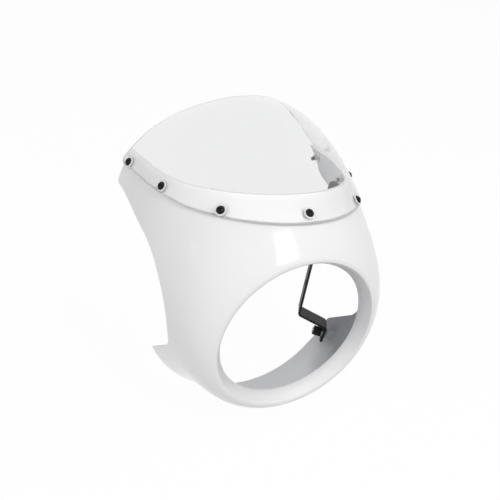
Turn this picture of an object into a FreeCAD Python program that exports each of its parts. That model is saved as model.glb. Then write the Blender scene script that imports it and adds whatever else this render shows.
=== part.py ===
"""Motorcycle windscreen fairing: moulded cowl with a round light opening, clear bubble screen, strap brackets.

Frame of the finished nodes: origin on the light opening's axis, half way along its land; X across the bike,
Y towards the rider, Z up. Sizes are measured from the plane of the front rim. Lengths in millimetres.
"""
import FreeCAD
import Part
import Sketcher
import math
import os

Vec = FreeCAD.Vector
doc = FreeCAD.newDocument("windscreen_fairing")
sheet = doc.addObject("Spreadsheet::Sheet", "sizes")

# Driving sizes, in millimetres and degrees.
SIZES = {
    # Sections of the cowl: distance back, half width, extra half height, height of the middle.
    "nose_back": 0.0, "nose_rise": 0.0, "nose_middle": 0.0,
    "brow_back": 27.0, "brow_half_width": 124.8, "brow_rise": 0.0, "brow_middle": 5.9,
    "cheek_back": 70.0, "cheek_half_width": 138.4, "cheek_rise": 9.6, "cheek_middle": 12.1,
    "shoulder_back": 123.0, "shoulder_half_width": 148.6, "shoulder_rise": 29.1, "shoulder_middle": 12.0,
    "wing_back": 176.0, "wing_half_width": 149.6, "wing_rise": 30.4, "wing_middle": 24.2,
    "tail_back": 240.0, "tail_half_width": 165.1, "tail_rise": 7.0, "tail_middle": 14.5,
    # Thicknesses and fits.
    "wall": 3.0, "screen_thickness": 3.0, "screen_gap": 0.3, "seat_gap": 0.3, "hole_clearance": 0.3,
    # Light opening: clear radius, how far the taper and the front rim widen it, taper depth and land length.
    "light_radius": 90.0, "taper_width": 7.5, "rim_width": 4.7, "taper_depth": 12.3, "land_length": 4.0,
    "rim_outer_round": 5.0, "rim_inner_round": 2.8,
    # Side outline of the cowl, as distance back and height of each corner.
    "chin_back": 92.0, "chin_height": -160.0,
    "jowl_back": 103.5, "jowl_height": -107.0, "jowl_round": 30.0,
    "tip_back": 105.5, "tip_height": -71.5, "tip_round": 4.0,
    "notch_back": 57.0, "notch_height": -31.0, "notch_round": 25.0,
    "waist_height": 15.0, "waist_round": 75.0,
    "hip_back": 111.0, "hip_height": 66.3, "hip_round": 110.0,
    "corner_back": 226.5, "corner_height": 88.0, "corner_round": 6.0,
    "top_rear_back": 235.5, "top_rear_height": 124.0,
    "top_bend_back": 128.0, "top_bend_height": 133.6, "top_bend_round": 500.0,
    "top_front_height": 168.0,
    # Side outline of the screen: its hem lies below the cowl's top edge by the width of the band.
    "band_front": 28.5, "band_bend": 12.6, "band_rear": 14.0,
    "hem_bend_back": 100.0, "hem_bend_round": 600.0, "hem_rear_back": 235.0, "hem_rear_round": 8.0,
    "edge_back": 236.0, "edge_height": 163.0, "edge_round": 50.0,
    "crest_back": 166.0, "crest_height": 251.0,
    # Screws of the screen: distance back of each pair and its height over the hem, and how far the middle
    # screw lies behind the hem.
    "rear_screw_back": 219.7, "rear_screw_rise": 3.4,
    "second_screw_back": 142.2, "second_screw_rise": 4.7,
    "third_screw_back": 69.4, "third_screw_rise": 3.1,
    "middle_screw_inset": 6.6,
    "screw_radius": 2.5, "screw_length": 17.0,
    "head_radius": 4.8, "head_edge": 0.8, "head_dome": 2.4, "socket_radius": 1.75, "socket_depth": 1.8,
    "washer_radius": 6.5, "washer_thickness": 1.2,
    "backing_radius": 6.5, "backing_thickness": 1.0,
    "nut_across_flats": 8.0, "nut_thickness": 4.0,
    # Strap brackets: turn of the strap's plane about the vertical, strip size, fixing points and bends.
    "strap_turn": -31.0, "strap_width": 20.0, "strap_thickness": 3.0,
    "lower_fix_back": 79.0, "lower_fix_height": -77.0, "lower_fix_slope": 8.0, "upper_fix_height": 112.0,
    "upper_fix_slope": 37.0, "tab_reach": 13.5, "tab_end": 8.0, "bend_round": 3.0,
    "bend_inset": 37.0, "bend_rise": 27.0, "web_length": 188.0,
    "clamp_hole_radius": 4.25, "clamp_hole_low": 45.0, "clamp_hole_pitch": 60.0,
    # Bosses, studs and nuts that hold the brackets.
    "boss_radius": 8.0, "boss_height": 7.0, "boss_bite": 4.5,
    "stud_radius": 3.0, "stud_depth": 4.0, "stud_length": 20.0,
    "stud_washer_radius": 7.0, "stud_washer_thickness": 1.5,
    "stud_nut_across_flats": 10.0, "stud_nut_thickness": 5.0,
    "thumb_radius": 6.2, "thumb_thickness": 10.0, "thumb_groove": 0.9,
    # Reach of the trimming blocks beyond the cowl.
    "reach": 400.0, "front_reach": 20.0,
}
# Sizes that follow from the driving ones.
FORMULAS = {
    "rim_radius": "=light_radius + taper_width",
    "nose_half_width": "=rim_radius + rim_width",
    "hem_front_height": "=top_front_height - band_front",
    "hem_bend_height": "=top_bend_height - band_bend",
    "hem_rear_height": "=top_rear_height - band_rear",
}
STATIONS = ("nose", "brow", "cheek", "shoulder", "wing", "tail")
THUMB_GROOVES = 12
BACK = Vec(0, 1, 0)
UP = Vec(0, 0, 1)
RIGHT = Vec(1, 0, 0)
IN_SECTION = FreeCAD.Rotation(-UP, RIGHT, -BACK, "XYZ")
IN_SIDE_VIEW = FreeCAD.Rotation(BACK, UP, RIGHT, "XYZ")
UPRIGHT = FreeCAD.Rotation(RIGHT, 90)

for row, (name, value) in enumerate((SIZES | FORMULAS).items(), start=1):
    sheet.set(f"A{row}", name)
    sheet.set(f"B{row}", str(value))
    sheet.setAlias(f"B{row}", name)
doc.recompute()


def size(name):
    """Value of one size of the sheet."""
    return float(sheet.get(name))


def evaluate(text):
    """Number that an expression over the sheet gives."""
    result = sheet.evalExpression(text.replace("sizes.", ""))
    return float(getattr(result, "Value", result))


def feature(kind, label, links=None, **sizes):
    """Document object with its links set and its sizes bound to the sheet."""
    made = doc.addObject(kind, label)
    for prop, target in (links or {}).items():
        setattr(made, prop, target)
    for prop, expression in sizes.items():
        made.setExpression(prop, expression)
    return made


def combine(kind, label, base, tool):
    """Boolean of two objects."""
    return feature(f"Part::{kind}", label, {"Base": base, "Tool": tool})


def fuse_all(label, parts):
    """Union of several objects."""
    return feature("Part::MultiFuse", label, {"Shapes": parts})


def group(label, parts):
    """One named part made of several separate solids."""
    return feature("Part::Compound", label, {"Links": parts})


def skin(label, growth, shift):
    """Solid lofted through the cowl's sections, grown outwards and moved back by the expressions given."""
    rings = []
    for station in STATIONS:
        ring = feature("Part::Ellipse", f"{label}_{station}",
                       MajorRadius=f"sizes.{station}_half_width + sizes.{station}_rise + {growth}",
                       MinorRadius=f"sizes.{station}_half_width + {growth}")
        ring.Placement = FreeCAD.Placement(Vec(), IN_SECTION)
        ring.setExpression("Placement.Base.y", f"sizes.{station}_back + {shift}")
        ring.setExpression("Placement.Base.z", f"sizes.{station}_middle")
        rings.append(ring)
    return feature("Part::Loft", label, {"Sections": rings, "Solid": True, "Ruled": False})


def arc_between(start, end, radius):
    """Arc bulging to the right of the way from start to end."""
    half = (end - start) * 0.5
    side = Vec(half.y, -half.x, 0).normalize()
    drop = math.sqrt(radius ** 2 - half.Length ** 2)
    middle = start + half + side * (radius - drop)
    return Part.Arc(start, middle, end)


def sketch(label, corners, arcs=None, rotation=None):
    """Closed outline through corners given as pairs of expressions; arcs maps a side to its radius."""
    outline = doc.addObject("Sketcher::SketchObject", label)
    outline.Placement = FreeCAD.Placement(Vec(), rotation or FreeCAD.Rotation())
    points = [Vec(evaluate(first), evaluate(second), 0) for first, second in corners]
    count = len(points)
    for side in range(count):
        start = points[side]
        end = points[(side + 1) % count]
        if arcs and side in arcs:
            outline.addGeometry(arc_between(start, end, evaluate(arcs[side])))
        else:
            outline.addGeometry(Part.LineSegment(start, end))
    for side in range(count):
        outline.addConstraint(Sketcher.Constraint("Coincident", side, 2, (side + 1) % count, 1))
    for side, pair in enumerate(corners):
        for kind, text in zip(("DistanceX", "DistanceY"), pair):
            index = outline.addConstraint(Sketcher.Constraint(kind, -1, 1, side, 1, evaluate(text)))
            outline.setExpression(f"Constraints[{index}]", text)
    for side, text in (arcs or {}).items():
        index = outline.addConstraint(Sketcher.Constraint("Radius", side, evaluate(text)))
        outline.setExpression(f"Constraints[{index}]", text)
    return outline


def edge_at(shape, spot):
    """Number of the edge that passes through a point."""
    near = [edge.distToShape(Part.Vertex(spot))[0] for edge in shape.Edges]
    return near.index(min(near)) + 1


def block(label, corners, rounds):
    """Slab across the whole width with the side outline given; rounds maps a corner to its radius."""
    outline = sketch(f"{label}_outline", corners, rotation=IN_SIDE_VIEW)
    settings = {"Base": outline, "DirMode": "Normal", "Solid": True, "Symmetric": True}
    slab = feature("Part::Extrusion", f"{label}_slab", settings, LengthFwd="sizes.reach")
    doc.recompute()
    chosen = []
    for corner, radius in rounds.items():
        spot = Vec(0, *(evaluate(text) for text in corners[corner]))
        chosen.append((edge_at(slab.Shape, spot), size(radius), size(radius)))
    rounded = feature("Part::Fillet", label, {"Base": slab})
    rounded.Edges = chosen
    return rounded


def turned(label, outline, axis):
    """Solid of revolution of an outline about an axis through the origin."""
    return feature("Part::Revolution", label,
                   {"Source": outline, "Axis": axis, "Angle": 360.0, "Solid": True})


def ring(label, radius, hole, thickness):
    """Flat ring standing on its underside, from expressions for its sizes."""
    disc = feature("Part::Cylinder", f"{label}_disc", Radius=radius, Height=thickness)
    bore = feature("Part::Cylinder", f"{label}_bore", Radius=hole, Height=thickness)
    return combine("Cut", label, disc, bore)


def nut(label, across_flats, hole, thickness):
    """Hexagon nut standing on its underside, from expressions for its sizes."""
    hexagon = feature("Part::Prism", f"{label}_hexagon",
                      Circumradius=f"{across_flats} / (2 * cos(30))", Height=thickness)
    bore = feature("Part::Cylinder", f"{label}_bore", Radius=hole, Height=thickness)
    return combine("Cut", label, hexagon, bore)


def stand(way, point):
    """Placement that stands a part made along Z at a point, pointing a given way."""
    return FreeCAD.Placement(point, FreeCAD.Rotation(UP, way))


def copies(label, pattern, places):
    """Copies of one part stood at the placements given."""
    made = []
    for number, place in enumerate(places, start=1):
        copy = doc.addObject("App::Link", f"{label}_{number}")
        copy.LinkedObject = pattern
        copy.LinkPlacement = place
        made.append(copy)
    return made


def crossings(solid, start, way):
    """Distances along a ray at which it enters and leaves a solid."""
    ray = Part.makeLine(start, start + way * size("reach"))
    ends = [vertex.Point for vertex in ray.common(solid.Shape).Vertexes]
    return sorted((point - start).dot(way) for point in ends)


def hem_height(back):
    """Height of the screen's hem in side view, at a distance back."""
    corners = [
        (-size("front_reach"), size("hem_front_height")),
        (size("hem_bend_back"), size("hem_bend_height")),
        (size("hem_rear_back"), size("hem_rear_height")),
    ]
    ends = corners[:2] if back < size("hem_bend_back") else corners[1:]
    (near, near_height), (far, far_height) = ends
    return near_height + (far_height - near_height) * (back - near) / (far - near)


def outward(solid, point):
    """Outward direction of a solid's surface near a point."""
    face, place = Part.Vertex(point).distToShape(solid.Shape)[2][0][4:6]
    return solid.Shape.Faces[face].normalAt(*place)


def screw_axis(point):
    """Axis through the cowl and screen at a point of the cowl's outside.

    Gives the foot inside the cowl, the outward direction, and the distances from the foot to the cowl's
    inside and to the screen's outside.
    """
    way = outward(cowl_outside, point)
    foot = point - way * size("screw_length")
    inner = crossings(cowl_inside, foot, way)[-1]
    outer = crossings(screen_outside, foot, way)[-1]
    return foot, way, inner, outer


def mirrored(vector):
    """Vector reflected to the other side of the bike."""
    return Vec(-vector.x, vector.y, vector.z)


def rounded_path(points, radius):
    """Wire through the points with every inner corner rounded."""
    edges = []
    last = points[0]
    for before, corner, after in zip(points, points[1:], points[2:]):
        back = (before - corner).normalize()
        ahead = (after - corner).normalize()
        half = back.getAngle(ahead) / 2
        run = radius / math.tan(half)
        centre = corner + (back + ahead).normalize() * (radius / math.sin(half))
        arc_start = corner + back * run
        arc_end = corner + ahead * run
        arc_middle = centre + (corner - centre).normalize() * radius
        edges.append(Part.makeLine(last, arc_start))
        edges.append(Part.Arc(arc_start, arc_middle, arc_end).toShape())
        last = arc_end
    edges.append(Part.makeLine(last, points[-1]))
    return Part.Wire(edges)


# Skins of the cowl and of the screen, all lofted through the same sections.
cowl_outside = skin("cowl_outside", "0", "0")
cowl_inside = skin("cowl_inside", "-sizes.wall", "sizes.wall / 2")
cowl_core = skin("cowl_core", "-sizes.wall / 2", "sizes.wall / 4")
screen_inside = skin("screen_inside", "sizes.screen_gap", "-sizes.screen_gap / 2")
screen_outside = skin("screen_outside", "(sizes.screen_gap + sizes.screen_thickness)",
                      "-(sizes.screen_gap + sizes.screen_thickness) / 2")
doc.recompute()

# Cowl: hollow skin, tapered return round the light opening, rounded rim, trimmed to the side outline.
cowl_skin = combine("Cut", "cowl_skin", cowl_outside, cowl_inside)
return_outline = sketch("return_outline", [
    ("0", "0"),
    ("sizes.rim_radius + sizes.wall", "0"),
    ("sizes.light_radius + sizes.wall", "sizes.taper_depth"),
    ("sizes.light_radius + sizes.wall", "sizes.taper_depth + sizes.land_length"),
    ("0", "sizes.taper_depth + sizes.land_length"),
])
return_ring = turned("return_ring", return_outline, BACK)
bore_outline = sketch("bore_outline", [
    ("0", "-sizes.taper_depth"),
    ("2 * sizes.rim_radius - sizes.light_radius", "-sizes.taper_depth"),
    ("sizes.light_radius", "sizes.taper_depth"),
    ("sizes.light_radius", "2 * sizes.taper_depth"),
    ("0", "2 * sizes.taper_depth"),
])
light_bore = turned("light_bore", bore_outline, BACK)
cowl_with_return = fuse_all("cowl_with_return", [cowl_skin, return_ring])
cowl_nose = combine("Cut", "cowl_nose", cowl_with_return, light_bore)
doc.recompute()
outer_edge = edge_at(cowl_nose.Shape, Vec(0, 0, -size("nose_half_width")))
inner_edge = edge_at(cowl_nose.Shape, Vec(size("rim_radius"), 0, 0))
cowl_rounded = feature("Part::Fillet", "cowl_rounded", {"Base": cowl_nose})
cowl_rounded.Edges = [
    (outer_edge, size("rim_outer_round"), size("rim_outer_round")),
    (inner_edge, size("rim_inner_round"), size("rim_inner_round")),
]
cowl_block = block("cowl_block", [
    ("-sizes.front_reach", "sizes.chin_height"),
    ("sizes.chin_back", "sizes.chin_height"),
    ("sizes.jowl_back", "sizes.jowl_height"),
    ("sizes.tip_back", "sizes.tip_height"),
    ("sizes.notch_back", "sizes.notch_height"),
    ("sizes.notch_back", "sizes.waist_height"),
    ("sizes.hip_back", "sizes.hip_height"),
    ("sizes.corner_back", "sizes.corner_height"),
    ("sizes.top_rear_back", "sizes.top_rear_height"),
    ("sizes.top_bend_back", "sizes.top_bend_height"),
    ("-sizes.front_reach", "sizes.top_front_height"),
], {2: "jowl_round", 3: "tip_round", 4: "notch_round", 5: "waist_round", 6: "hip_round", 7: "corner_round",
    9: "top_bend_round"})
cowl_trimmed = combine("Common", "cowl_trimmed", cowl_rounded, cowl_block)

# Screen: clear skin over the top of the cowl, cut to its own side outline.
screen_skin = combine("Cut", "screen_skin", screen_outside, screen_inside)
screen_block = block("screen_block", [
    ("-sizes.front_reach", "sizes.hem_front_height"),
    ("sizes.hem_bend_back", "sizes.hem_bend_height"),
    ("sizes.hem_rear_back", "sizes.hem_rear_height"),
    ("sizes.edge_back", "sizes.edge_height"),
    ("sizes.crest_back", "sizes.crest_height"),
    ("-sizes.front_reach", "sizes.crest_height"),
], {1: "hem_bend_round", 2: "hem_rear_round", 3: "edge_round"})
screen_trimmed = combine("Common", "screen_trimmed", screen_skin, screen_block)
doc.recompute()

# Screw axes: three pairs along the band and one in the middle.
screw_axes = []
for pair in ("rear", "second", "third"):
    back = size(f"{pair}_screw_back")
    start = Vec(0, back, hem_height(back) + size(f"{pair}_screw_rise"))
    reach = crossings(cowl_outside, start, RIGHT)[-1]
    foot, way, inner, outer = screw_axis(start + RIGHT * reach)
    screw_axes.append((foot, way, inner, outer))
    screw_axes.append((mirrored(foot), mirrored(way), inner, outer))
hem_start = Vec(0, 0, hem_height(0))
hem_way = (Vec(0, size("hem_bend_back"), size("hem_bend_height")) - hem_start).normalize()
hem_middle = hem_start + hem_way * crossings(cowl_outside, hem_start, hem_way)[0]
start = Vec(0, hem_middle.y + size("middle_screw_inset"), 0)
reach = crossings(cowl_outside, start, UP)[-1]
screw_axes.append(screw_axis(start + UP * reach))

# Holes for the screws, through screen and cowl.
screw_hole = "sizes.screw_radius + sizes.hole_clearance"
drill = feature("Part::Cylinder", "drill", Radius=screw_hole, Height="3 * sizes.screw_length")
drills = copies("drill", drill, [
    stand(way, foot - way * size("screw_length")) for foot, way, inner, outer in screw_axes])
windscreen = combine("Cut", "windscreen", screen_trimmed, group("screw_holes", drills))

# Screw: domed head with a hexagon socket, standing on its head's underside.
screw_outline = sketch("screw_outline", [
    ("0", "-sizes.screw_length"),
    ("sizes.screw_radius", "-sizes.screw_length"),
    ("sizes.screw_radius", "0"),
    ("sizes.head_radius", "0"),
    ("sizes.head_radius", "sizes.head_edge"),
    ("0", "sizes.head_edge + sizes.head_dome"),
], {4: "(sizes.head_radius ^ 2 + sizes.head_dome ^ 2) / (2 * sizes.head_dome)"}, UPRIGHT)
screw_turned = turned("screw_turned", screw_outline, UP)
socket = feature("Part::Prism", "socket", Circumradius="sizes.socket_radius", Height="sizes.head_dome")
socket.setExpression("Placement.Base.z", "sizes.head_edge + sizes.head_dome - sizes.socket_depth")
screw = combine("Cut", "screw", screw_turned, socket)
head_rise = size("seat_gap") + size("washer_thickness")
screen_screws = group("screen_screws", copies("screw", screw, [
    stand(way, foot + way * (outer + head_rise)) for foot, way, inner, outer in screw_axes]))

# Washers under the screw heads, and the backing washers and nuts inside the cowl.
head_washer = ring("head_washer", "sizes.washer_radius", screw_hole, "sizes.washer_thickness")
screen_washers = group("screen_washers", copies("head_washer", head_washer, [
    stand(way, foot + way * (outer + size("seat_gap"))) for foot, way, inner, outer in screw_axes]))
backing_washer = ring("backing_washer", "sizes.backing_radius", screw_hole, "sizes.backing_thickness")
backing_washers = group("backing_washers", copies("backing_washer", backing_washer, [
    stand(-way, foot + way * (inner - size("seat_gap"))) for foot, way, inner, outer in screw_axes]))
nut_drop = size("seat_gap") + size("backing_thickness")
screen_nut = nut("screen_nut", "sizes.nut_across_flats", screw_hole, "sizes.nut_thickness")
screen_nuts = group("screen_nuts", copies("screen_nut", screen_nut, [
    stand(-way, foot + way * (inner - nut_drop)) for foot, way, inner, outer in screw_axes]))

# Plane of the right strap, its lower fixing on the wall and the bend above it.
strap_turn = math.radians(size("strap_turn"))
slope = math.radians(size("lower_fix_slope"))
half_strap = size("strap_thickness") / 2
across = Vec(math.cos(strap_turn), math.sin(strap_turn), 0)
broadside = across.cross(UP)
lower_way = across * -math.cos(slope) + UP * math.sin(slope)
lower_along = across * math.sin(slope) + UP * math.cos(slope)
start = Vec(0, size("lower_fix_back"), size("lower_fix_height"))
lower_wall = start + RIGHT * crossings(cowl_inside, start, RIGHT)[-1]
lower_seat = lower_wall + lower_way * size("boss_height")
lower_middle = lower_seat + lower_way * half_strap
lower_bend = lower_middle - across * size("bend_inset") + UP * size("bend_rise")
upper_bend = lower_bend + UP * size("web_length")

# Upper fixing, straight out from the web in the same plane.
slope = math.radians(size("upper_fix_slope"))
upper_way = across * -math.cos(slope) - UP * math.sin(slope)
upper_along = across * math.sin(slope) - UP * math.cos(slope)
start = Vec(lower_bend.x, lower_bend.y, size("upper_fix_height"))
upper_wall = start + across * crossings(cowl_inside, start, across)[-1]
upper_seat = upper_wall + upper_way * size("boss_height")
upper_middle = upper_seat + upper_way * half_strap

# Strap: tab on the lower boss, arm, upright web, arm, tab on the upper boss.
path_points = [
    lower_middle - lower_along * size("tab_end"),
    lower_middle + lower_along * size("tab_reach"),
    lower_bend,
    upper_bend,
    upper_middle - upper_along * size("tab_reach"),
    upper_middle + upper_along * size("tab_end"),
]
strap_path = doc.addObject("Part::Feature", "strap_path")
strap_path.Shape = rounded_path(path_points, size("bend_round") + half_strap)
strap_section = sketch("strap_section", [
    ("-sizes.strap_width / 2", "-sizes.strap_thickness / 2"),
    ("sizes.strap_width / 2", "-sizes.strap_thickness / 2"),
    ("sizes.strap_width / 2", "sizes.strap_thickness / 2"),
    ("-sizes.strap_width / 2", "sizes.strap_thickness / 2"),
])
strap_section.Placement = FreeCAD.Placement(
    path_points[0], FreeCAD.Rotation(broadside, lower_along.cross(broadside), lower_along, "XYZ"))
doc.recompute()
path_edges = [f"Edge{number}" for number in range(1, len(strap_path.Shape.Edges) + 1)]
strap_bar = feature("Part::Sweep", "strap_bar", {
    "Sections": [strap_section], "Spine": (strap_path, path_edges), "Solid": True, "Transition": "Transformed"})

# Holes in the strap: one in each tab for its stud, and two in the web for the fork clamps.
stud_hole = "sizes.stud_radius + sizes.hole_clearance"
stud_drill = feature("Part::Cylinder", "stud_drill", Radius=stud_hole, Height="2 * sizes.strap_thickness")
stud_drills = copies("stud_drill", stud_drill, [
    stand(lower_way, lower_seat - lower_way * half_strap),
    stand(upper_way, upper_seat - upper_way * half_strap)])
clamp_drill = feature("Part::Cylinder", "clamp_drill", Radius="sizes.clamp_hole_radius",
                      Height="2 * sizes.strap_thickness")
clamp_low = lower_bend + UP * size("clamp_hole_low")
clamp_high = clamp_low + UP * size("clamp_hole_pitch")
clamp_drills = copies("clamp_drill", clamp_drill, [
    stand(across, spot - across * size("strap_thickness")) for spot in (clamp_low, clamp_high)])
strap_holes = group("strap_holes", stud_drills + clamp_drills)
bracket_right = combine("Cut", "bracket_right", strap_bar, strap_holes)
left_bar = feature("Part::Mirroring", "left_bar", {"Source": strap_bar, "Normal": RIGHT})
left_holes = feature("Part::Mirroring", "left_holes", {"Source": strap_holes, "Normal": RIGHT})
bracket_left = combine("Cut", "bracket_left", left_bar, left_holes)

# Bosses inside the cowl that carry the bracket studs, each rooted half way into the wall.
lower_seats = [(lower_seat, lower_way), (mirrored(lower_seat), mirrored(lower_way))]
upper_seats = [(upper_seat, upper_way), (mirrored(upper_seat), mirrored(upper_way))]
seats = lower_seats + upper_seats
boss = feature("Part::Cylinder", "boss", Radius="sizes.boss_radius",
               Height="sizes.boss_height + sizes.boss_bite")
bosses = copies("boss", boss, [stand(-way, seat) for seat, way in seats])
stud_bore = feature("Part::Cylinder", "stud_bore", Radius=stud_hole, Height="sizes.stud_depth")
stud_bores = copies("stud_bore", stud_bore, [stand(-way, seat) for seat, way in seats])
seated_bosses = combine("Common", "seated_bosses", group("boss_blanks", bosses), cowl_core)
cowl_with_bosses = fuse_all("cowl_with_bosses", [cowl_trimmed, seated_bosses])
fairing_shell = combine("Cut", "fairing_shell", cowl_with_bosses, group("cowl_holes", drills + stud_bores))

# Studs, washers and nuts that hold the brackets.
stud = feature("Part::Cylinder", "stud", Radius="sizes.stud_radius", Height="sizes.stud_length")
bracket_studs = group("bracket_studs", copies("stud", stud, [
    stand(way, seat - way * size("stud_depth")) for seat, way in seats]))
stud_washer = ring("stud_washer", "sizes.stud_washer_radius", stud_hole, "sizes.stud_washer_thickness")
bracket_washers = group("bracket_washers", copies("stud_washer", stud_washer, [
    stand(way, seat + way * size("strap_thickness")) for seat, way in seats]))
nut_rise = size("strap_thickness") + size("stud_washer_thickness")
stud_nut = nut("stud_nut", "sizes.stud_nut_across_flats", stud_hole, "sizes.stud_nut_thickness")
bracket_nuts = group("bracket_nuts", copies("stud_nut", stud_nut, [
    stand(way, seat + way * nut_rise) for seat, way in upper_seats]))
thumb_blank = ring("thumb_blank", "sizes.thumb_radius", stud_hole, "sizes.thumb_thickness")
groove = feature("Part::Cylinder", "groove", Radius="sizes.thumb_groove", Height="sizes.thumb_thickness")
groove_places = []
for number in range(THUMB_GROOVES):
    turn = FreeCAD.Rotation(UP, 360.0 * number / THUMB_GROOVES)
    groove_places.append(FreeCAD.Placement(turn.multVec(RIGHT * size("thumb_radius")), turn))
grooves = group("grooves", copies("groove", groove, groove_places))
thumb_nut = combine("Cut", "thumb_nut", thumb_blank, grooves)
thumb_nuts = group("thumb_nuts", copies("thumb_nut", thumb_nut, [
    stand(way, seat + way * nut_rise) for seat, way in lower_seats]))

# Every node is placed so that the frame's origin is the middle of the light opening's land.
NODES = (fairing_shell, windscreen, screen_screws, screen_washers, backing_washers, screen_nuts, bracket_left,
         bracket_right, bracket_studs, bracket_washers, bracket_nuts, thumb_nuts)
land_middle = size("taper_depth") + size("land_length") / 2
doc.recompute()
for node in NODES:
    node.Placement = FreeCAD.Placement(BACK * -land_middle, FreeCAD.Rotation())
doc.recompute()
for made in doc.Objects:
    if "Invalid" in made.State or "Error" in made.State:
        raise RuntimeError(f"{made.Label} did not build")
os.makedirs("parts", exist_ok=True)
for node in NODES:
    if node.Shape.isNull() or not node.Shape.isValid() or not node.Shape.Solids:
        raise RuntimeError(f"{node.Label} has no sound shape")
    node.Shape.exportStep(f"parts/{node.Label}.step")
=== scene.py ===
import logging
import math
from dataclasses import dataclass
from enum import Enum
from typing import Sequence

import bmesh
import bpy
from mathutils import Matrix, Vector


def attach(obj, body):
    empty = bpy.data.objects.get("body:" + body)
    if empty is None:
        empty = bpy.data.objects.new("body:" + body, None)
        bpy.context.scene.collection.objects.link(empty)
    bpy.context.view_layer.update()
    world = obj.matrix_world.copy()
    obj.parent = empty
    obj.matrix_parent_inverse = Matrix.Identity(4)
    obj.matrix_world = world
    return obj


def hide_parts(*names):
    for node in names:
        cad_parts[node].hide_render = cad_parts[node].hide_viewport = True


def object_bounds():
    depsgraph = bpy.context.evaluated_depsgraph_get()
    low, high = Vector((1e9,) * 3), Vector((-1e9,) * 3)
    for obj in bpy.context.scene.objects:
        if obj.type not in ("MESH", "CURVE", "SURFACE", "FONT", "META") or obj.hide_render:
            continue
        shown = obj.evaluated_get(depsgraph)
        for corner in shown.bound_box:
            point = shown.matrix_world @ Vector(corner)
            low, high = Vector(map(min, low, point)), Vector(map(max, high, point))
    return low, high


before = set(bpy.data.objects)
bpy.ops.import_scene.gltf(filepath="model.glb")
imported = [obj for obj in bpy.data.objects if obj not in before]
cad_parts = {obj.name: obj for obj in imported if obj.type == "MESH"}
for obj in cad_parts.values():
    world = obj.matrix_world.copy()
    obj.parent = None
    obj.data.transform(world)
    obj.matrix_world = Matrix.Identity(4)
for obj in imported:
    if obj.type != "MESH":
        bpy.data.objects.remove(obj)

logging.basicConfig(level=logging.INFO, format="%(message)s")
log = logging.getLogger("fairing")

CAD_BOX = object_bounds()
BODY = "root"

Colour = tuple[float, float, float]
Range = tuple[float, float]
Triple = tuple[float, float, float]
Socket = bpy.types.NodeSocket

# Values that a noise pattern mostly keeps between.
NOISE_RANGE: Range = (0.3, 0.7)

# Numbers of the colour sockets of a Mix node.
MIX_INPUTS = (6, 7)
MIX_RESULT = 2

OPAQUE = 1.0
WHITE = (1.0, 1.0, 1.0, OPAQUE)


class Slot(Enum):
    """Material slots of the part, as its record names them."""

    COWL = "cowl_white"
    SCREEN = "screen_clear"
    SCREW = "screw_black"
    NYLON = "washer_nylon"
    STEEL = "plated_steel"
    STRAP = "strap_black"
    KNOB = "knob_black"


class Ray(Enum):
    """Kinds of ray that should meet the studio as plain white."""

    CAMERA = "Is Camera Ray"
    GLOSSY = "Is Glossy Ray"
    TRANSMISSION = "Is Transmission Ray"


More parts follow.
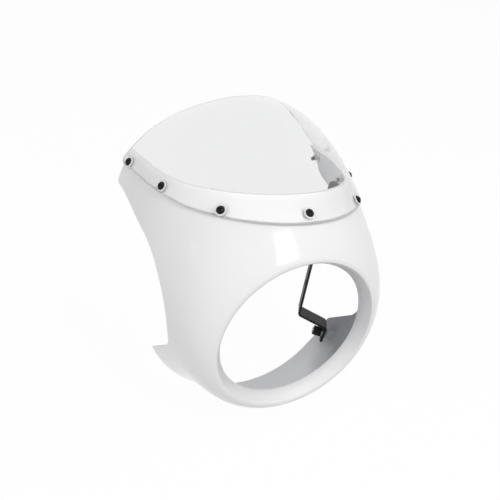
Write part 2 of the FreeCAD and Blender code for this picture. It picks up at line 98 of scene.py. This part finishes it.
class NodeGraph:
    """Node tree with short calls to add nodes, join them and set their inputs."""

    def __init__(self, tree: bpy.types.NodeTree) -> None:
        """Empties a tree.

        Args:
            tree: node tree of a material or of the world.
        """
        self.tree = tree
        tree.nodes.clear()

    def add(self, kind: str, inputs: dict | None = None, **settings: object) -> bpy.types.Node:
        """Adds a node.

        Args:
            kind: node type without its "ShaderNode" prefix.
            inputs: values or source sockets by input name or number.
            settings: properties of the node itself.

        Returns:
            The new node.
        """
        node = self.tree.nodes.new(f"ShaderNode{kind}")
        for name, value in settings.items():
            setattr(node, name, value)
        for name, value in (inputs or {}).items():
            if isinstance(value, Socket):
                self.tree.links.new(value, node.inputs[name])
            else:
                node.inputs[name].default_value = value
        return node

    def noise(self, place: Socket, scale: float, detail: float = 4.0) -> Socket:
        """Adds a noise pattern.

        Args:
            place: coordinates of the pattern.
            scale: grains per metre.
            detail: octaves of the pattern.

        Returns:
            The pattern's value, from 0 to 1.
        """
        return self.add("TexNoise", {"Vector": place, "Scale": scale, "Detail": detail}).outputs["Fac"]

    def spread(self, value: Socket, start: float, end: float, low: float = 0.0, high: float = 1.0) -> Socket:
        """Maps a value's range to another one.

        Args:
            value: value to map.
            start: value that gives low.
            end: value that gives high.
            low: result at the start.
            high: result at the end.

        Returns:
            The mapped value, held between the two results.
        """
        inputs = {"Value": value, "From Min": start, "From Max": end, "To Min": low, "To Max": high}
        return self.add("MapRange", inputs, clamp=True).outputs["Result"]

    def vary(self, pattern: Socket, between: Range) -> Socket:
        """Lets a noise pattern vary a property.

        Args:
            pattern: noise pattern.
            between: least and greatest value of the property.

        Returns:
            The property's value.
        """
        return self.spread(pattern, *NOISE_RANGE, *between)

    def blend(self, share: Socket, first: Colour | Socket, second: Colour | Socket) -> Socket:
        """Mixes two colours.

        Args:
            share: share of the second colour.
            first: colour or colour socket.
            second: colour or colour socket.

        Returns:
            The mixed colour.
        """
        inputs = {"Factor": share}
        for number, value in zip(MIX_INPUTS, (first, second)):
            inputs[number] = value if isinstance(value, Socket) else (*value, OPAQUE)
        return self.add("Mix", inputs, data_type="RGBA").outputs[MIX_RESULT]

    def math(self, operation: str, *values: float | Socket) -> Socket:
        """Adds a sum on two or three values.

        Args:
            operation: name of the sum.
            values: values or sockets, in order.

        Returns:
            The result.
        """
        return self.add("Math", dict(enumerate(values)), operation=operation).outputs["Value"]

    def bump(self, height: Socket, depth: float, strength: float) -> Socket:
        """Turns a height into a surface normal.

        Args:
            height: height pattern, from 0 to 1.
            depth: depth of the pattern in metres.
            strength: share of the effect.

        Returns:
            The normal.
        """
        return self.add("Bump", {"Height": height, "Distance": depth, "Strength": strength}).outputs["Normal"]

    def place(self) -> Socket:
        """Finds where the surface lies.

        Returns:
            Coordinates in the part's frame, in metres.
        """
        return self.add("TexCoord").outputs["Object"]

    def axis(self, place: Socket, name: str) -> Socket:
        """Picks one coordinate.

        Args:
            place: coordinates of the surface.
            name: X, Y or Z.

        Returns:
            The coordinate in metres.
        """
        return self.add("SeparateXYZ", {"Vector": place}).outputs[name]

    def white_rays(self) -> Socket:
        """Picks out the rays that should see plain white.

        Returns:
            One for these rays, and zero for the others.
        """
        path = self.add("LightPath").outputs
        either = self.math("MAXIMUM", path[Ray.CAMERA.value], path[Ray.GLOSSY.value])
        return self.math("MAXIMUM", either, path[Ray.TRANSMISSION.value])

    def show(self, shader: Socket, output: str = "OutputMaterial") -> None:
        """Joins a shader to the tree's output.

        Args:
            shader: shader to show.
            output: kind of output node.
        """
        self.add(output, {"Surface": shader})


@dataclass(frozen=True)
class Finish:
    """Finish of a surface; each kind makes its own material."""

    name: str

    def material(self) -> bpy.types.Material:
        """Makes the material.

        Returns:
            The new material.
        """
        made = bpy.data.materials.new(self.name)
        made.use_nodes = True
        self.wire(NodeGraph(made.node_tree))
        return made

    def wire(self, graph: NodeGraph) -> None:
        """Fills the material's node tree.

        Args:
            graph: tree to fill.
        """
        raise NotImplementedError


@dataclass(frozen=True)
class GlossShell(Finish):
    """Gloss white moulding with a dull grey inside.

    The inside turns white again near the band, and low at the chin as painted light where light falls in. The
    return round the light opening is white, with painted shade that makes it greyer higher up. Lengths and
    heights are in metres.
    """

    white: Colour = (0.86, 0.86, 0.862)
    white_shade: Colour = (0.835, 0.835, 0.84)
    grey: Colour = (0.40, 0.405, 0.425)
    grey_shade: Colour = (0.345, 0.35, 0.37)
    # White of the inside near the band; low at the chin it is painted light, where light falls in through the
    # opening.
    inner_white_and_painted_light: Colour = (0.90, 0.905, 0.92)
    # Painted shade: greys the upper part of the return, where less light falls.
    return_painted_shade: Colour = (0.62, 0.622, 0.635)
    # Heights between which the white at the band, the painted light at the chin and the painted shade on the
    # return set in, and how far clouds shift them.
    band_white: Range = (0.065, 0.115)
    chin_painted_light: Range = (-0.055, -0.085)
    return_shade_span: Range = (-0.050, 0.020)
    height_sway: float = 0.04
    # Middle of the cowl, where its return ends, and the turn at which a face counts as looking inwards.
    middle_height: float = 0.015
    return_end: float = 0.003
    return_blend: float = 0.001
    inward_turn: Range = (-0.01, -0.03)
    # Roughness: outside, added near the light opening's rim, and added inside.
    gloss: Range = (0.10, 0.16)
    satin: float = 0.3
    satin_rim: Range = (0.097, 0.106)
    dull: Range = (0.5, 0.62)
    # Patterns, from the widest to the finest.
    cloud_scale: float = 14.0
    gloss_scale: float = 45.0
    mottle_scale: float = 160.0
    mottle_detail: float = 6.0
    ripple_scale: float = 420.0
    ripple_detail: float = 2.0
    ripple_depth: float = 0.00006
    ripple_strength: float = 0.25
    ior: float = 1.5
    # Leaves the coordinate along the axis of the light opening out.
    across: Triple = (1.0, 0.0, 1.0)

    def wire(self, graph: NodeGraph) -> None:
        """Fills the node tree: colour, gloss and surface ripple.

        Args:
            graph: tree to fill.
        """
        place = graph.place()
        inside, on_return = self.sides(graph, place)
        mottle = graph.noise(place, self.mottle_scale, self.mottle_detail)
        ripple = graph.noise(place, self.ripple_scale, self.ripple_detail)
        shader = graph.add("BsdfPrincipled", {
            "Base Color": self.colour(graph, place, mottle, inside, on_return),
            "Roughness": self.roughness(graph, place, mottle, inside),
            "IOR": self.ior,
            "Normal": graph.bump(ripple, self.ripple_depth, self.ripple_strength),
        })
        graph.show(shader.outputs["BSDF"])

    def colour(self, graph: NodeGraph, place: Socket, mottle: Socket,
               inside: Socket, on_return: Socket) -> Socket:
        """Mixes the colours of the outside, the return with its painted shade, and the inside with its
        painted light.

        Args:
            graph: tree to add to.
            place: coordinates of the surface.
            mottle: pattern of the bare inside.
            inside: one on the inside.
            on_return: one on the return of the light opening.

        Returns:
            The colour.
        """
        cloud = graph.noise(place, self.cloud_scale)
        uneven_height = graph.math("MULTIPLY_ADD", cloud, self.height_sway, graph.axis(place, "Z"))
        # Painted shade on the return, greyer towards its top.
        return_shade = graph.math("MULTIPLY", on_return, graph.spread(uneven_height, *self.return_shade_span))
        outer = graph.blend(return_shade, graph.blend(cloud, self.white, self.white_shade), self.return_painted_shade)
        # White near the band, and painted light that makes the inside lighter towards the bottom at the chin.
        band_white_share = graph.spread(uneven_height, *self.band_white)
        chin_light_share = graph.spread(uneven_height, *self.chin_painted_light)
        inner_white_share = graph.math("MAXIMUM", band_white_share, chin_light_share)
        inner = graph.blend(inner_white_share, graph.blend(mottle, self.grey, self.grey_shade), self.inner_white_and_painted_light)
        return graph.blend(inside, outer, inner)

    def roughness(self, graph: NodeGraph, place: Socket, mottle: Socket, inside: Socket) -> Socket:
        """Adds up the roughness of the gloss, the rim and the inside.

        Args:
            graph: tree to add to.
            place: coordinates of the surface.
            mottle: pattern of the bare inside.
            inside: one on the inside.

        Returns:
            The roughness.
        """
        gloss = graph.vary(graph.noise(place, self.gloss_scale), self.gloss)
        satin = graph.spread(self.reach(graph, place), *self.satin_rim, self.satin, 0.0)
        outer = graph.math("ADD", gloss, satin)
        return graph.math("ADD", outer, graph.math("MULTIPLY", inside, graph.vary(mottle, self.dull)))

    def reach(self, graph: NodeGraph, place: Socket) -> Socket:
        """Measures the distance from the axis of the light opening.

        Args:
            graph: tree to add to.
            place: coordinates of the surface.

        Returns:
            The distance in metres.
        """
        flat = graph.add("VectorMath", {0: place, 1: self.across}, operation="MULTIPLY").outputs["Vector"]
        return graph.add("VectorMath", {0: flat}, operation="LENGTH").outputs["Value"]

    def sides(self, graph: NodeGraph, place: Socket) -> tuple[Socket, Socket]:
        """Finds the faces that look towards the middle of the cowl.

        Args:
            graph: tree to add to.
            place: coordinates of the surface.

        Returns:
            A value that is one on the inside of the cowl, and one that is one on the return of the light
            opening.
        """
        middle = (0.0, 0.0, -self.middle_height)
        outwards = graph.add("VectorMath", {0: place, 1: self.across, 2: middle}, operation="MULTIPLY_ADD")
        normal = graph.add("NewGeometry").outputs["Normal"]
        facing = graph.add("VectorMath", {0: outwards.outputs["Vector"], 1: normal}, operation="DOT_PRODUCT")
        inwards = graph.spread(facing.outputs["Value"], *self.inward_turn)
        behind = graph.spread(graph.axis(place, "Y"), self.return_end, self.return_end + self.return_blend)
        inside = graph.math("MULTIPLY", inwards, behind)
        return inside, graph.math("SUBTRACT", inwards, inside)


@dataclass(frozen=True)
class ClearSheet(Finish):
    """Polished clear acrylic that lets lamps through."""

    tint: Colour = (0.86, 0.862, 0.864)
    tint_shade: Colour = (0.84, 0.842, 0.845)
    # Painted shade: a darker tint where the sheet lies over the cowl's band, so that the band looks less lit.
    band_painted_shade: Colour = (0.795, 0.795, 0.795)
    # Height of the band's upper edge at the front, its slope towards the rear and its bend.
    band_curve: Triple = (0.1597, -0.27, 0.5)
    band_fade: float = 0.004
    haze_scale: float = 30.0
    roughness: Range = (0.0, 0.02)
    lamp_tint: Colour = (0.92, 0.92, 0.92)
    ior: float = 1.49

    def wire(self, graph: NodeGraph) -> None:
        """Fills the node tree: clear, faintly grey sheet with painted shade over the band, open to lamps.

        Args:
            graph: tree to fill.
        """
        place = graph.place()
        haze = graph.noise(place, self.haze_scale)
        grey = graph.blend(haze, self.tint, self.tint_shade)
        window = graph.spread(self.height_over_band(graph, place), -self.band_fade, self.band_fade)
        shader = graph.add("BsdfPrincipled", {
            "Base Color": graph.blend(window, self.band_painted_shade, grey),
            "Roughness": graph.vary(haze, self.roughness),
            "IOR": self.ior,
            "Transmission Weight": 1.0,
        })
        through = graph.add("BsdfTransparent", {"Color": (*self.lamp_tint, OPAQUE)})
        lamp = graph.add("LightPath").outputs["Is Shadow Ray"]
        both = graph.add("MixShader", {0: lamp, 1: shader.outputs["BSDF"], 2: through.outputs["BSDF"]})
        graph.show(both.outputs["Shader"])

    def height_over_band(self, graph: NodeGraph, place: Socket) -> Socket:
        """Measures how far a point lies above the upper edge of the cowl's band.

        Args:
            graph: tree to add to.
            place: coordinates of the surface.

        Returns:
            The height in metres, below zero on the band.
        """
        start, slope, bend = self.band_curve
        back = graph.axis(place, "Y")
        steepness = graph.math("MULTIPLY_ADD", back, bend, slope)
        edge = graph.math("MULTIPLY_ADD", steepness, back, start)
        return graph.math("SUBTRACT", graph.axis(place, "Z"), edge)


@dataclass(frozen=True)
class CutEdge(Finish):
    """Sawn edge of clear acrylic: pale, satin and faintly lined."""

    pale: Colour = (0.70, 0.705, 0.71)
    dark: Colour = (0.56, 0.565, 0.575)
    roughness: Range = (0.35, 0.5)
    line_scale: float = 900.0
    line_stretch: Triple = (1.0, 0.2, 1.0)
    line_depth: float = 0.00003
    line_strength: float = 0.4
    ior: float = 1.49

    def wire(self, graph: NodeGraph) -> None:
        """Fills the node tree: fine saw lines in two pale greys.

        Args:
            graph: tree to fill.
        """
        stretched = graph.add("Mapping", {"Vector": graph.place(), "Scale": self.line_stretch})
        lines = graph.noise(stretched.outputs["Vector"], self.line_scale)
        shader = graph.add("BsdfPrincipled", {
            "Base Color": graph.blend(lines, self.pale, self.dark),
            "Roughness": graph.vary(lines, self.roughness),
            "IOR": self.ior,
            "Normal": graph.bump(lines, self.line_depth, self.line_strength),
        })
        graph.show(shader.outputs["BSDF"])


@dataclass(frozen=True)
class Coated(Finish):
    """Coated or moulded surface with a fine grain."""

    colour: Colour
    shade: Colour
    roughness: Range
    grain: float
    grain_depth: float
    grain_detail: float = 2.0
    grain_strength: float = 0.6
    grains_per_patch: float = 8.0
    metallic: float = 0.0
    ior: float = 1.5

    def wire(self, graph: NodeGraph) -> None:
        """Fills the node tree: two close colours, uneven gloss and a fine grain.

        Args:
            graph: tree to fill.
        """
        place = graph.place()
        patch = graph.noise(place, self.grain / self.grains_per_patch)
        grain = graph.noise(place, self.grain, self.grain_detail)
        shader = graph.add("BsdfPrincipled", {
            "Base Color": graph.blend(patch, self.colour, self.shade),
            "Roughness": graph.vary(patch, self.roughness),
            "Metallic": self.metallic,
            "IOR": self.ior,
            "Normal": graph.bump(grain, self.grain_depth, self.grain_strength),
        })
        graph.show(shader.outputs["BSDF"])


@dataclass(frozen=True)
class PaleFloor(Finish):
    """White floor that shows the part's shadow faintly and looks plain white in reflections."""

    colour: Colour = (0.68, 0.68, 0.68)
    seen: Colour = (0.98, 0.98, 0.98)
    glow: float = 0.96

    def wire(self, graph: NodeGraph) -> None:
        """Fills the node tree: matt white, mostly plain light for the rays that see it.

        Args:
            graph: tree to fill.
        """
        seen = graph.white_rays()
        matt = graph.add("BsdfDiffuse", {"Color": graph.blend(seen, self.colour, self.seen)})
        light = graph.add("Emission", {"Color": WHITE, "Strength": 1.0})
        share = graph.math("MULTIPLY", seen, self.glow)
        both = graph.add("MixShader", {0: share, 1: matt.outputs["BSDF"], 2: light.outputs["Emission"]})
        graph.show(both.outputs["Shader"])


FINISHES: dict[Slot, Finish] = {
    Slot.COWL: GlossShell("cowl_gloss_white"),
    Slot.SCREEN: ClearSheet("screen_clear_acrylic"),
    Slot.SCREW: Coated("screw_black_coat", (0.005, 0.005, 0.006), (0.009, 0.009, 0.010), (0.05, 0.10),
                       grain=900.0, grain_depth=0.000004, ior=1.28),
    Slot.NYLON: Coated("washer_pale_nylon", (0.84, 0.84, 0.84), (0.79, 0.79, 0.80), (0.35, 0.5),
                       grain=700.0, grain_depth=0.00002),
    Slot.STEEL: Coated("fixing_plated_steel", (0.62, 0.63, 0.65), (0.54, 0.55, 0.57), (0.22, 0.38),
                       grain=1500.0, grain_depth=0.00002, metallic=1.0),
    Slot.STRAP: Coated("strap_satin_black", (0.008, 0.008, 0.009), (0.014, 0.014, 0.015), (0.42, 0.55),
                       grain=1400.0, grain_depth=0.00004, ior=1.4),
    Slot.KNOB: Coated("knob_moulded_black", (0.008, 0.008, 0.008), (0.013, 0.013, 0.013), (0.45, 0.6),
                      grain=1100.0, grain_depth=0.00004, ior=1.4),
}


@dataclass
class SubAssembly:
    """Group of pieces that share a place on the part and take their shapes from the solids."""

    merge_distance: float = 1e-6
    sharp_angle: float = math.radians(32.0)

    def material(self, slot: Slot) -> bpy.types.Material:
        """Material of a slot, made once.

        Args:
            slot: slot of the record.

        Returns:
            The slot's material.
        """
        finish = FINISHES[slot]
        return bpy.data.materials.get(finish.name) or finish.material()

    def smooth_piece(self, node: str, name: str, slot: Slot) -> bpy.types.Object:
        """Makes a smooth-shaded piece from a solid's mesh, and shows it in place of the solid.

        Args:
            node: name of the solid.
            name: name of the piece.
            slot: slot that the piece takes its finish from.

        Returns:
            The new piece.
        """
        shape = bmesh.new()
        shape.from_mesh(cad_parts[node].data)
        bmesh.ops.remove_doubles(shape, verts=shape.verts, dist=self.merge_distance)
        for face in shape.faces:
            face.smooth = True
            face.material_index = 0
        for edge in shape.edges:
            edge.smooth = edge.is_manifold and edge.calc_face_angle() < self.sharp_angle
        mesh = bpy.data.meshes.new(name)
        shape.to_mesh(mesh)
        shape.free()
        mesh.materials.append(self.material(slot))
        piece = bpy.data.objects.new(name, mesh)
        bpy.context.scene.collection.objects.link(piece)
        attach(piece, BODY)
        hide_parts(node)
        log.info("piece %s: %d faces", name, len(mesh.polygons))
        return piece

    def faces_round(self, shape: bmesh.types.BMesh) -> list[list[bmesh.types.BMFace]]:
        """Sorts faces into surfaces that run on without a sharp edge.

        Args:
            shape: mesh with its sharp edges marked.

        Returns:
            The surfaces, the largest first.
        """
        left = set(shape.faces)
        surfaces = []
        while left:
            reached = [left.pop()]
            for face in reached:
                for edge in face.edges:
                    if edge.smooth:
                        beyond = [other for other in edge.link_faces if other in left]
                        left.difference_update(beyond)
                        reached.extend(beyond)
            surfaces.append(reached)
        return sorted(surfaces, key=lambda surface: -sum(face.calc_area() for face in surface))


@dataclass
class Cowl(SubAssembly):
    """Moulded cowl."""

    def build(self) -> None:
        """Makes the cowl."""
        self.smooth_piece("fairing_shell", "cowl", Slot.COWL)


@dataclass
class Screen(SubAssembly):
    """Clear screen with its screws, washers and nuts."""

    # The outer and the inner skin; the sheet's other surfaces are sawn edges.
    polished_surfaces: int = 2

    def build(self) -> None:
        """Makes the screen and its fixings."""
        self.cut_edges(self.smooth_piece("windscreen", "clear_screen", Slot.SCREEN))
        self.smooth_piece("screen_screws", "domed_screws", Slot.SCREW)
        self.smooth_piece("screen_washers", "pale_washers", Slot.NYLON)
        self.smooth_piece("backing_washers", "inner_washers", Slot.STEEL)
        self.smooth_piece("screen_nuts", "inner_nuts", Slot.STEEL)

    def cut_edges(self, screen: bpy.types.Object) -> None:
        """Gives the sheet's sawn edges their own finish.

        Args:
            screen: the clear sheet.
        """
        screen.data.materials.append(CutEdge("screen_sawn_edge").material())
        shape = bmesh.new()
        shape.from_mesh(screen.data)
        for surface in self.faces_round(shape)[self.polished_surfaces:]:
            for face in surface:
                face.material_index = 1
        shape.to_mesh(screen.data)
        shape.free()


@dataclass
class Brackets(SubAssembly):
    """Strap brackets with their studs, washers and nuts."""

    def build(self) -> None:
        """Makes both straps and what holds them."""
        self.smooth_piece("bracket_left", "left_strap", Slot.STRAP)
        self.smooth_piece("bracket_right", "right_strap", Slot.STRAP)
        self.smooth_piece("bracket_studs", "strap_studs", Slot.STEEL)
        self.smooth_piece("bracket_washers", "strap_washers", Slot.STEEL)
        self.smooth_piece("bracket_nuts", "strap_nuts", Slot.STEEL)
        self.smooth_piece("thumb_nuts", "ridged_nuts", Slot.KNOB)


@dataclass(frozen=True)
class Lamp:
    """Oblong soft lamp that looks at the part; mirrored and refracted say which rays see its image."""

    name: str
    place: Triple
    width: float
    height: float
    power: float
    mirrored: bool = True
    refracted: bool = True

    def build(self, target: Vector) -> None:
        """Hangs the lamp.

        Args:
            target: point that the lamp looks at.
        """
        light = bpy.data.lights.new(self.name, "AREA")
        light.shape = "RECTANGLE"
        light.size, light.size_y = self.width, self.height
        light.energy = self.power
        lamp = bpy.data.objects.new(self.name, light)
        lamp.location = self.place
        lamp.visible_glossy = self.mirrored
        lamp.visible_transmission = self.refracted
        lamp.rotation_euler = (target - Vector(self.place)).to_track_quat("-Z", "Y").to_euler()
        bpy.context.scene.collection.objects.link(lamp)


@dataclass
class Studio:
    """Pale floor, white surroundings and soft lamps."""

    floor_side: float = 60.0
    surround: float = 0.40
    lamps: Sequence[Lamp] = (
        Lamp("key", (0.15, -0.93, 1.15), 0.40, 0.90, 7.5),
        Lamp("left_fill", (-2.0, -1.1, 1.5), 2.6, 2.1, 27.5, mirrored=False),
        Lamp("right_fill", (1.4, -0.3, 1.5), 1.6, 1.6, 7.0, mirrored=False, refracted=False),
        Lamp("left_strip", (-1.54, 0.30, 0.53), 0.03, 0.22, 0.08),
    )

    def build(self) -> None:
        """Makes the floor, the surroundings and the lamps."""
        low, high = CAD_BOX
        self.floor(low.z)
        self.surroundings()
        for lamp in self.lamps:
            lamp.build((low + high) / 2.0)
        bpy.context.scene.view_settings.view_transform = "Standard"

    def floor(self, height: float) -> None:
        """Lays the floor.

        Args:
            height: height of the floor.
        """
        shape = bmesh.new()
        bmesh.ops.create_grid(shape, x_segments=1, y_segments=1, size=self.floor_side / 2.0)
        bmesh.ops.translate(shape, verts=shape.verts, vec=(0.0, 0.0, height))
        mesh = bpy.data.meshes.new("floor")
        shape.to_mesh(mesh)
        shape.free()
        mesh.materials.append(PaleFloor("floor_white").material())
        floor = bpy.data.objects.new("floor", mesh)
        bpy.context.scene.collection.objects.link(floor)

    def surroundings(self) -> None:
        """Lights the part softly from all round, and shows plain white to the rays that see it."""
        world = bpy.data.worlds.new("studio")
        world.use_nodes = True
        graph = NodeGraph(world.node_tree)
        seen = graph.spread(graph.white_rays(), 0.0, 1.0, self.surround, 1.0)
        light = graph.add("Background", {"Color": WHITE, "Strength": seen})
        graph.show(light.outputs["Background"], "OutputWorld")
        bpy.context.scene.world = world


@dataclass
class Viewpoint:
    """Camera above the front left, tilted a little."""

    place: Triple = (-0.4288, -0.5683, 0.5030)
    azimuth: float = math.radians(-31.89)
    elevation: float = math.radians(30.15)
    roll: float = math.radians(11.33)
    lens: float = 54.907
    sensor: float = 36.0

    def build(self) -> None:
        """Makes the camera."""
        back = Vector((math.sin(self.azimuth) * math.cos(self.elevation),
                       -math.cos(self.azimuth) * math.cos(self.elevation), math.sin(self.elevation)))
        level = Vector((math.cos(self.azimuth), math.sin(self.azimuth), 0.0))
        turn = Matrix.Rotation(self.roll, 3, back)
        right = turn @ level
        up = back.cross(right)
        data = bpy.data.cameras.new("camera")
        data.lens = self.lens
        data.sensor_width = self.sensor
        camera = bpy.data.objects.new("camera", data)
        pose = Matrix((right, up, back)).transposed().to_4x4()
        pose.translation = self.place
        camera.matrix_world = pose
        bpy.context.scene.collection.objects.link(camera)
        bpy.context.scene.camera = camera


def main() -> None:
    """Builds the part's pieces, the studio and the camera, in that order."""
    for assembly in (Cowl(), Screen(), Brackets()):
        assembly.build()
    Studio().build()
    Viewpoint().build()


if __name__ == "__main__":
    main()
